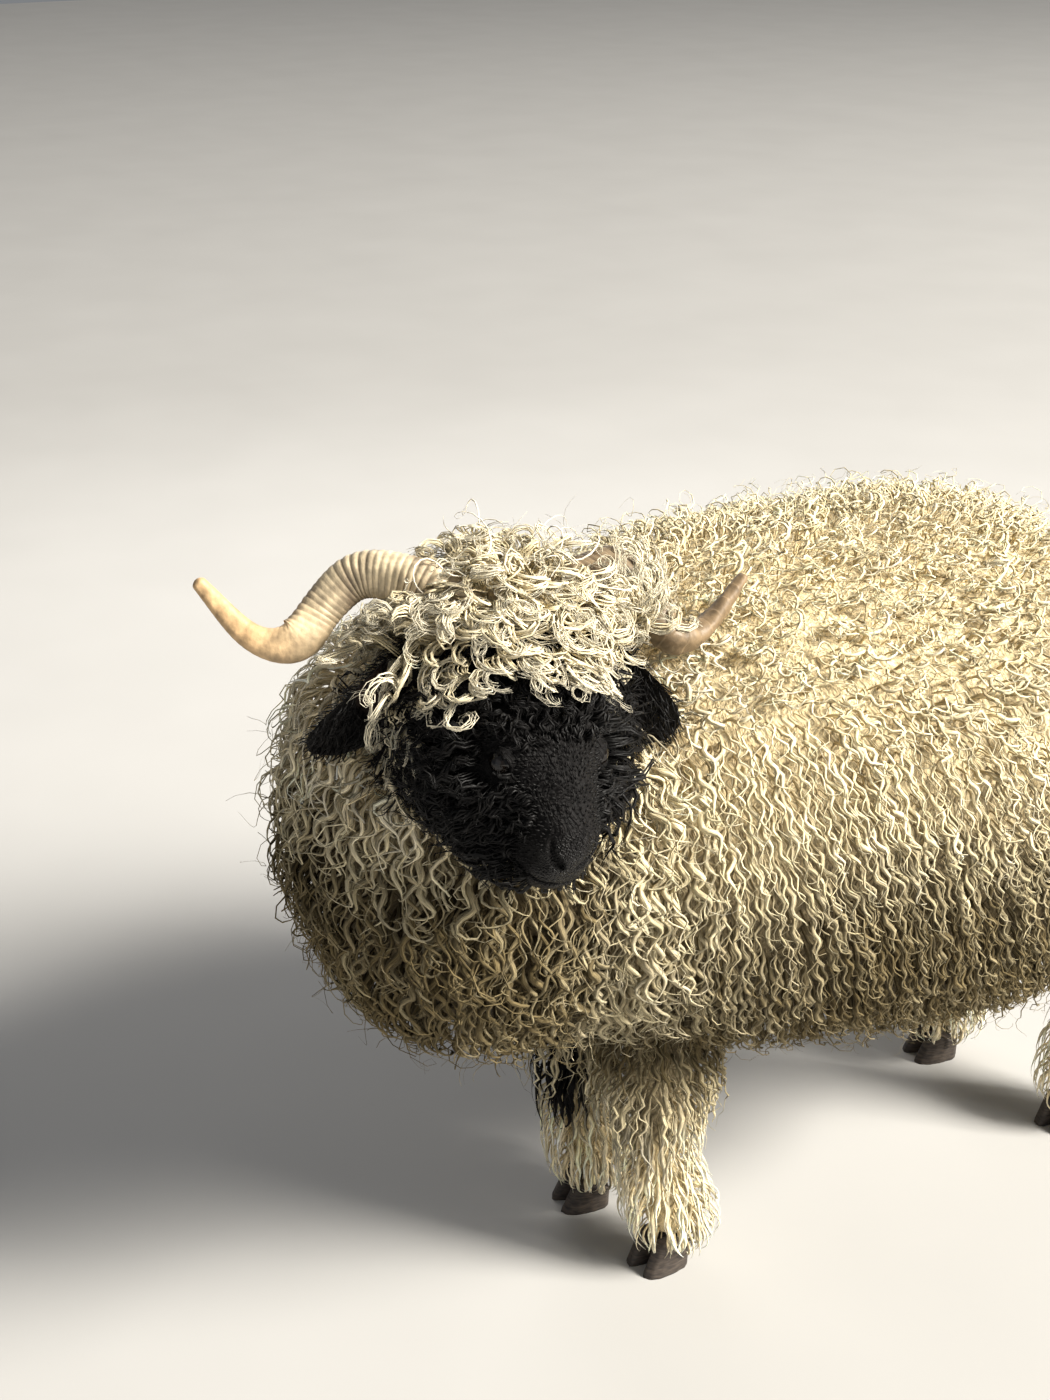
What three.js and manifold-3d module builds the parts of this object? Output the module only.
// A standing valais blacknose sheep in full fleece, life size, with its head turned to its left.
// Millimetres, +Z up. The sheep faces -Y and its left side is +X. The solids give the outline of the coat.
import * as THREE from 'three';
import { mergeVertices } from 'three/addons/utils/BufferGeometryUtils.js';
import Module from 'manifold-3d';

const wasm = await Module();
wasm.setup();

// Driving sizes, measured over the fleece.
const withersHeight = 826;
const croupHeight = 816;
const bellyHeight = 280;
const flankHeight = 222;
const breastHeight = 330;
const barrelHalfWidth = 306;
const breastY = -430;
const rumpY = 528;
const headLength = 206;
const faceHalfWidth = 89;
const muzzleHalfWidth = 28;
const earLength = 114;
const eyeRadius = 13.5;
const hornBaseRadius = 23;
const hornTipRadius = 6;
const clawLength = 62;
const clawWidth = 27;
const clawHeight = 40;
const gap = 0.3;

// The four feet: where each stands, how its leg leans inwards, how far its knee or hock is forward of the
// foot, and how many degrees its toe turns out.
const feet = [
  { name: 'front_left', x: 64, y: -148, lean: -6, kneeForward: 12, toeOut: 8 },
  { name: 'front_right', x: -72, y: -164, lean: 6, kneeForward: 18, toeOut: -6 },
  { name: 'hind_left', x: 100, y: 425, lean: 0, kneeForward: -34, toeOut: 7 },
  { name: 'hind_right', x: -100, y: 385, lean: 0, kneeForward: -34, toeOut: -7 },
];

// Where the head is: the poll lies between the horns, and the face is turned towards the left flank.
// The horns don't grow quite alike, so the crown that carries them has a slightly smaller turn of its own.
const pollPoint = new THREE.Vector3(160, -387, 846);
const crownTurn = 74;
const crownDrop = 30;
const crownRoll = -7;
const faceTurn = 82;
const faceDrop = 32;
const faceRoll = -9;

const fleeceColour = 0xd9cba6;
const blackWoolColour = 0x1c1a19;
const hornColour = 0xa98a63;
const hoofColour = 0x3b352e;
const eyeColour = 0x2a1a0e;

const upwards = new THREE.Vector3(0, 0, 1);
const backwards = new THREE.Vector3(0, 1, 0);

// A frame on the poll, from three angles in degrees: its directions to the nose, to the animal's left and up
// out of the forehead, and a function that gives a place along them.
function frameOnPoll(turnAngle, dropAngle, rollAngle) {
  const turn = THREE.MathUtils.degToRad(turnAngle);
  const drop = THREE.MathUtils.degToRad(dropAngle);
  const roll = THREE.MathUtils.degToRad(rollAngle);
  const noseward = new THREE.Vector3(
    Math.sin(turn) * Math.cos(drop),
    -Math.cos(turn) * Math.cos(drop),
    -Math.sin(drop),
  );
  const levelLeft = new THREE.Vector3(Math.cos(turn), Math.sin(turn), 0);
  const levelUp = new THREE.Vector3().crossVectors(noseward, levelLeft);
  const leftward = levelLeft.clone().multiplyScalar(Math.cos(roll)).addScaledVector(levelUp, Math.sin(roll));
  const up = levelUp.clone().multiplyScalar(Math.cos(roll)).addScaledVector(levelLeft, -Math.sin(roll));
  const place = (forward, left, height) => pollPoint.clone().addScaledVector(noseward, forward)
    .addScaledVector(leftward, left).addScaledVector(up, height).toArray();
  return { noseward, leftward, up, place };
}

const crown = frameOnPoll(crownTurn, crownDrop, crownRoll);
const face = frameOnPoll(faceTurn, faceDrop, faceRoll);

// A closed geometry becomes a solid for joining and cutting, and a solid goes back to a geometry.
function toSolid(geometry) {
  const bare = geometry.clone();
  bare.deleteAttribute('normal');
  bare.deleteAttribute('uv');
  const merged = mergeVertices(bare, 1e-3);
  const mesh = new wasm.Mesh({
    numProp: 3,
    vertProperties: new Float32Array(merged.attributes.position.array),
    triVerts: new Uint32Array(merged.index.array),
  });
  return new wasm.Manifold(mesh);
}

function toGeometry(solid) {
  const mesh = solid.getMesh();
  const geometry = new THREE.BufferGeometry();
  geometry.setAttribute('position', new THREE.BufferAttribute(new Float32Array(mesh.vertProperties), 3));
  geometry.setIndex(new THREE.BufferAttribute(new Uint32Array(mesh.triVerts), 1));
  return geometry;
}

// One named size of a row of stations, smoothly between them, at u from 0 at the first to 1 at the last.
function sizeAt(stations, name, u) {
  const place = u * (stations.length - 1);
  const index = Math.min(Math.floor(place), stations.length - 2);
  const before = stations[Math.max(index - 1, 0)][name];
  const from = stations[index][name];
  const to = stations[index + 1][name];
  const after = stations[Math.min(index + 2, stations.length - 1)][name];
  const t = place - index;
  return (2 * t ** 3 - 3 * t ** 2 + 1) * from + (t ** 3 - 2 * t ** 2 + t) * (to - before) / 2
    + (3 * t ** 2 - 2 * t ** 3) * to + (t ** 3 - t ** 2) * (after - from) / 2;
}

// A round-ended body along a spine. Each station holds its centre and its half sizes: side, up and down.
// The grid is a sphere's: its rings become the sections, and its poles the two ends. blunt says how full
// the ends are, and box how square a section is. grow enlarges it all, to cut a seat in a neighbour.
function loft(stations, { dorsal = upwards, sides = 24, rings = 20, blunt = 3, box = 2.2, grow = 0 } = {}) {
  const spine = new THREE.CatmullRomCurve3(stations.map((station) => new THREE.Vector3(...station.at)));
  const geometry = new THREE.SphereGeometry(1, sides, rings);
  const position = geometry.attributes.position;
  for (let i = 0; i < position.count; i += 1) {
    const along = THREE.MathUtils.clamp(position.getY(i), -1, 1);
    const u = (1 - along) / 2;
    const fullness = Math.max(1 - Math.abs(along) ** blunt, 0) ** (1 / blunt);
    const tangent = spine.getTangent(u);
    const side = new THREE.Vector3().crossVectors(dorsal, tangent).normalize();
    const top = new THREE.Vector3().crossVectors(tangent, side);
    const angle = Math.atan2(position.getZ(i), position.getX(i));
    const square = (Math.abs(Math.cos(angle)) ** box + Math.abs(Math.sin(angle)) ** box) ** (-1 / box);
    const height = sizeAt(stations, Math.sin(angle) > 0 ? 'up' : 'down', u);
    const point = spine.getPoint(u)
      .addScaledVector(side, Math.cos(angle) * square * fullness * (sizeAt(stations, 'side', u) + grow))
      .addScaledVector(top, Math.sin(angle) * square * fullness * (height + grow))
      .addScaledVector(tangent, -along * grow);
    position.setXYZ(i, point.x, point.y, point.z);
  }
  return toSolid(geometry);
}

// The barrel and the rump, from the breast between the shoulders to the back of the thighs.
function makeTrunk(grow) {
  const middle = (withersHeight + bellyHeight) / 2;
  const length = rumpY - breastY;
  const backHeight = (withersHeight + croupHeight) / 2 - 6;
  const outline = [
    { along: 0, half: 0.58, top: withersHeight - 110, bottom: breastHeight + 30 },
    { along: 0.17, half: 0.76, top: withersHeight - 34, bottom: breastHeight - 20 },
    { along: 0.34, half: 0.91, top: withersHeight, bottom: bellyHeight },
    { along: 0.52, half: 1, top: backHeight, bottom: (bellyHeight + flankHeight) / 2 },
    { along: 0.7, half: 1, top: croupHeight, bottom: flankHeight },
    { along: 0.86, half: 0.95, top: croupHeight - 34, bottom: flankHeight + 4 },
    { along: 1, half: 0.82, top: croupHeight - 130, bottom: flankHeight + 34 },
  ];
  const stations = outline.map(({ along, half, top, bottom }) => ({
    at: [0, breastY + along * length, middle],
    side: half * barrelHalfWidth,
    up: top - middle,
    down: middle - bottom,
  }));
  return loft(stations, { sides: 26, rings: 20, blunt: 2.9, box: 2.15, grow });
}

// The woolly neck with the throat and the breast in front of it, bent round to the head.
function makeNeck(grow) {
  const stations = [
    { at: [-10, -90, 600], side: 176, up: 170, down: 250 },
    { at: [-8, -225, 602], side: 200, up: 190, down: 306 },
    { at: [6, -318, 638], side: 200, up: 172, down: 292 },
    { at: [44, -370, 710], side: 172, up: 128, down: 200 },
    { at: [92, -386, 775], side: 138, up: 96, down: 140 },
    { at: [132, -388, 815], side: 100, up: 70, down: 100 },
  ];
  return loft(stations, { sides: 22, rings: 14, blunt: 2.6, box: 2.35, grow });
}

// The skull under its coat: forehead, cheeks and the arched nose, down to the muzzle.
function makeFace(grow) {
  const section = (share, half, top, bottom) => ({
    at: face.place(share * headLength, 0, -62),
    side: half,
    up: top + 62,
    down: -bottom - 62,
  });
  const stations = [
    section(-0.24, 0.62 * faceHalfWidth, -8, -112),
    section(0.02, 0.94 * faceHalfWidth, 12, -128),
    section(0.26, faceHalfWidth, 12, -136),
    section(0.48, faceHalfWidth, 3, -134),
    section(0.68, 0.85 * faceHalfWidth, -12, -132),
    section(0.86, muzzleHalfWidth + 16, -20, -124),
    section(1, muzzleHalfWidth - 2, -26, -110),
  ];
  return loft(stations, { dorsal: face.up, sides: 20, rings: 16, blunt: 4.4, box: 2.3, grow });
}

// The cream topknot over the poll, whose fringe falls on the forehead.
function makeTopknot(grow) {
  const stations = [
    { at: crown.place(-96, 0, -34), side: 84, up: 50, down: 60 },
    { at: crown.place(-52, 0, -8), side: 112, up: 56, down: 80 },
    { at: crown.place(0, 0, 6), side: 116, up: 46, down: 90 },
    { at: crown.place(48, 0, 6), side: 96, up: 26, down: 60 },
    { at: crown.place(84, 0, -2), side: 66, up: 14, down: 30 },
  ];
  return loft(stations, { dorsal: crown.up, sides: 18, rings: 9, blunt: 2.6, grow });
}

// The lower jaw hangs under the mouth line, from the chin back to the cheek.
function makeLowerJaw(grow) {
  const stations = [
    { at: face.place(0.4 * headLength, 0, -124), side: 44, up: 10, down: 20 },
    { at: face.place(0.62 * headLength, 0, -124), side: 42, up: 12, down: 23 },
    { at: face.place(0.82 * headLength, 0, -116), side: 32, up: 12, down: 23 },
    { at: face.place(0.965 * headLength, 0, -102), side: 22, up: 10, down: 17 },
  ];
  return loft(stations, { dorsal: face.up, sides: 12, rings: 8, grow });
}

function eyeCentre(flank) {
  return new THREE.Vector3(...face.place(0.57 * headLength, flank * 42, -34));
}

// Each eye looks outwards and a little forwards.
function gaze(flank) {
  return face.noseward.clone().multiplyScalar(0.46).addScaledVector(face.leftward, flank * 0.8)
    .addScaledVector(face.up, 0.38).normalize();
}

function makeEye(flank, grow) {
  const ball = new THREE.SphereGeometry(eyeRadius + grow, 12, 7);
  const centre = eyeCentre(flank);
  ball.translate(centre.x, centre.y, centre.z);
  return toSolid(ball);
}

// The hollow in the face wool through which the eye looks out.
function makeEyeOpening(flank) {
  const centre = eyeCentre(flank);
  const out = gaze(flank);
  const stations = [0, 16, 34, 60].map((distance) => ({
    at: centre.clone().addScaledVector(out, distance).toArray(),
    side: 11.5 + 0.28 * distance,
    up: 8 + 0.3 * distance,
    down: 8 + 0.3 * distance,
  }));
  return loft(stations, { dorsal: face.up, sides: 10, rings: 6 });
}

// A nostril is a slit that rises outwards and back from the middle of the nose.
function makeNostril(flank) {
  const stations = [
    { at: face.place(headLength + 2, flank * 6, -56), side: 3, up: 4, down: 4 },
    { at: face.place(headLength - 4, flank * 14, -51), side: 4, up: 6, down: 6 },
    { at: face.place(headLength - 12, flank * 23, -45), side: 3, up: 5, down: 5 },
  ];
  return loft(stations, { dorsal: face.up, sides: 8, rings: 6 });
}

function makeHead(grow) {
  let head = makeFace(grow).add(makeTopknot(grow));
  if (grow === 0) {
    for (const flank of [1, -1]) {
      head = head.subtract(makeEyeOpening(flank)).subtract(makeNostril(flank));
    }
  }
  return head;
}

// A drooping leaf-shaped ear, cupped forwards.
function makeEar(flank, grow) {
  const root = new THREE.Vector3(...crown.place(4, flank * 94, -46));
  const reach = crown.leftward.clone().multiplyScalar(flank * 0.6).addScaledVector(crown.up, -0.68)
    .addScaledVector(crown.noseward, 0.3).normalize();
  const broad = new THREE.Vector3().crossVectors(reach, crown.noseward).normalize();
  const leaf = [
    { along: -0.12, half: 15, thick: 9 },
    { along: 0.12, half: 22, thick: 8 },
    { along: 0.45, half: 29, thick: 6.5 },
    { along: 0.78, half: 23, thick: 5.5 },
    { along: 1, half: 9, thick: 4.5 },
  ];
  const stations = leaf.map(({ along, half, thick }) => ({
    at: root.clone().addScaledVector(reach, along * earLength)
      .addScaledVector(crown.noseward, 10 * Math.sin(Math.PI * Math.max(along, 0))).toArray(),
    side: half,
    up: thick,
    down: thick,
  }));
  const front = new THREE.Vector3().crossVectors(broad, reach).normalize();
  return loft(stations, { dorsal: front, sides: 12, rings: 9, blunt: 2.6, grow });
}

// The horn's course from its root by the poll: up and back, out and down, then forwards to a flared tip.
function hornCurve(flank) {
  const course = [
    [-6, 30, -22],
    [-30, 54, -6],
    [-56, 88, -7],
    [-72, 122, -22],
    [-60, 150, -50],
    [-34, 174, -70],
    [-48, 212, -74],
    [-90, 257, -48],
  ];
  return new THREE.CatmullRomCurve3(course.map(([forward, left, up]) => new THREE.Vector3(
    ...crown.place(forward, flank * left, up),
  )));
}

function makeHorn(flank, grow) {
  const curve = hornCurve(flank);
  const rings = 36;
  const sides = 9;
  const ridgeCount = 9;
  const frames = curve.computeFrenetFrames(rings, false);
  const geometry = new THREE.SphereGeometry(1, sides, rings);
  const position = geometry.attributes.position;
  for (let i = 0; i < position.count; i += 1) {
    const ring = Math.floor(i / (sides + 1));
    const u = ring / rings;
    const taper = hornBaseRadius + (hornTipRadius - hornBaseRadius) * u ** 1.7;
    const ridge = 1 + 0.045 * Math.cos(2 * Math.PI * ridgeCount * u) * Math.max(1 - 1.5 * u, 0);
    const endCap = Math.min(1, Math.sqrt(Math.max(1 - (2 * u - 1) ** 24, 0)));
    const angle = Math.atan2(position.getZ(i), position.getX(i));
    // the section is a rounded triangle with its keel outwards
    const keel = 1 + 0.14 * Math.cos(3 * angle);
    const radius = (taper * ridge * keel + grow) * endCap;
    const point = curve.getPointAt(u)
      .addScaledVector(frames.normals[ring], radius * Math.cos(angle))
      .addScaledVector(frames.binormals[ring], radius * Math.sin(angle))
      .addScaledVector(frames.tangents[ring], (2 * u - 1) * grow);
    position.setXYZ(i, point.x, point.y, point.z);
  }
  return toSolid(geometry);
}

// A leg under its wool, from the fetlock fringe over the hoof up into the fleece.
function makeLeg(foot, grow) {
  const hind = foot.y > 0;
  const knee = foot.kneeForward;
  const stations = [
    { at: [foot.x, foot.y + 12, 16], side: 46, up: 54, down: 48 },
    { at: [foot.x, foot.y + 10, 66], side: 46, up: 52, down: 48 },
    { at: [foot.x + foot.lean / 4, foot.y - knee / 2, 130], side: 38, up: 42, down: 40 },
    { at: [foot.x + foot.lean / 2, foot.y - knee, 205], side: 42, up: 46, down: 44 },
    { at: [foot.x + foot.lean, foot.y - knee / 2, 285], side: 60, up: 66, down: 62 },
    { at: [foot.x + foot.lean, foot.y - (hind ? 30 : 0), 400], side: 80, up: 90, down: 90 },
  ];
  return loft(stations, { dorsal: backwards, sides: 12, rings: 11, blunt: 4, grow });
}

// One claw of a cloven hoof, standing on its flat sole with the toe towards -Y.
function makeClaw(foot, part, grow) {
  const half = clawWidth / 2 + grow;
  const toe = -clawLength / 2 - grow;
  const heel = clawLength / 2 + grow;
  const print = new THREE.Shape();
  print.moveTo(-half, heel - half);
  print.bezierCurveTo(-half, heel, half, heel, half, heel - half);
  print.bezierCurveTo(half + 1, -clawLength / 6, half * 0.7, toe, part * half * -0.35, toe);
  print.bezierCurveTo(-half * 0.9, toe, -half - 1, -clawLength / 6, -half, heel - half);
  const geometry = new THREE.ExtrudeGeometry(print, {
    depth: 1, steps: 2, bevelEnabled: false, curveSegments: 4,
  });
  const position = geometry.attributes.position;
  for (let i = 0; i < position.count; i += 1) {
    const x = position.getX(i);
    const y = position.getY(i);
    const rise = position.getZ(i);
    // the wall leans back from the toe, and the top slopes down to the heel
    const towardsHeel = (y - toe) / (heel - toe);
    const top = clawHeight * (1 - 0.42 * towardsHeel) + grow;
    const leaning = y + rise * 20 * (1 - towardsHeel);
    position.setXYZ(i, x * (1 - 0.14 * rise), leaning, -grow + rise * (top + grow));
  }
  const splay = THREE.MathUtils.degToRad(foot.toeOut + part * 3);
  geometry.translate(part * (clawWidth / 2 + 1.5), 0, 0);
  geometry.rotateZ(splay);
  geometry.translate(foot.x, foot.y - 6, 0);
  return toSolid(geometry);
}

// The woolly tail hangs close behind the thighs.
function makeTail(grow) {
  const stations = [
    { at: [0, 488, 690], side: 48, up: 34, down: 34 },
    { at: [0, 546, 640], side: 54, up: 36, down: 36 },
    { at: [2, 572, 540], side: 56, up: 36, down: 36 },
    { at: [5, 570, 440], side: 48, up: 32, down: 32 },
    { at: [7, 558, 370], side: 30, up: 22, down: 22 },
  ];
  return loft(stations, { dorsal: backwards, sides: 12, rings: 10, grow });
}

// Every sub-part, its maker, and the neighbours that are seated in it with a thin gap.
const subparts = {};
for (const [word, flank] of [['left', 1], ['right', -1]]) {
  subparts[`horn_${word}`] = { make: (grow) => makeHorn(flank, grow), colour: hornColour, seats: [] };
  subparts[`eye_${word}`] = { make: (grow) => makeEye(flank, grow), colour: eyeColour, seats: [] };
  subparts[`ear_${word}`] = {
    make: (grow) => makeEar(flank, grow),
    colour: blackWoolColour,
    seats: ['head'],
  };
}
subparts.lower_jaw = { make: makeLowerJaw, colour: blackWoolColour, seats: [] };
subparts.head = {
  make: makeHead,
  colour: blackWoolColour,
  seats: ['horn_left', 'horn_right', 'eye_left', 'eye_right', 'lower_jaw'],
};
subparts.trunk = { make: makeTrunk, colour: fleeceColour, seats: ['horn_left', 'head', 'ear_left'] };
subparts.neck = {
  make: makeNeck,
  colour: fleeceColour,
  seats: ['head', 'lower_jaw', 'ear_left', 'ear_right', 'horn_left', 'horn_right', 'trunk'],
};
subparts.tail = { make: makeTail, colour: fleeceColour, seats: ['trunk'] };
for (const foot of feet) {
  for (const [word, part] of [['inner', -Math.sign(foot.x)], ['outer', Math.sign(foot.x)]]) {
    subparts[`claw_${foot.name}_${word}`] = {
      make: (grow) => makeClaw(foot, part, grow),
      colour: hoofColour,
      seats: [],
    };
  }
  subparts[`leg_${foot.name}`] = {
    make: (grow) => makeLeg(foot, grow),
    colour: fleeceColour,
    seats: ['trunk', 'neck', `claw_${foot.name}_inner`, `claw_${foot.name}_outer`],
  };
}

const sheep = new THREE.Group();
for (const [name, { make, colour, seats }] of Object.entries(subparts)) {
  let solid = make(0);
  for (const neighbour of seats) {
    solid = solid.subtract(subparts[neighbour].make(gap));
  }
  const material = new THREE.MeshStandardMaterial({ color: colour, roughness: 0.85, metalness: 0 });
  const mesh = new THREE.Mesh(toGeometry(solid), material);
  mesh.name = name;
  sheep.add(mesh);
}

// The origin is on the floor, under the middle of the whole animal.
const bounds = new THREE.Box3().setFromObject(sheep);
sheep.position.set(-(bounds.min.x + bounds.max.x) / 2, -(bounds.min.y + bounds.max.y) / 2, -bounds.min.z);

export default sheep;
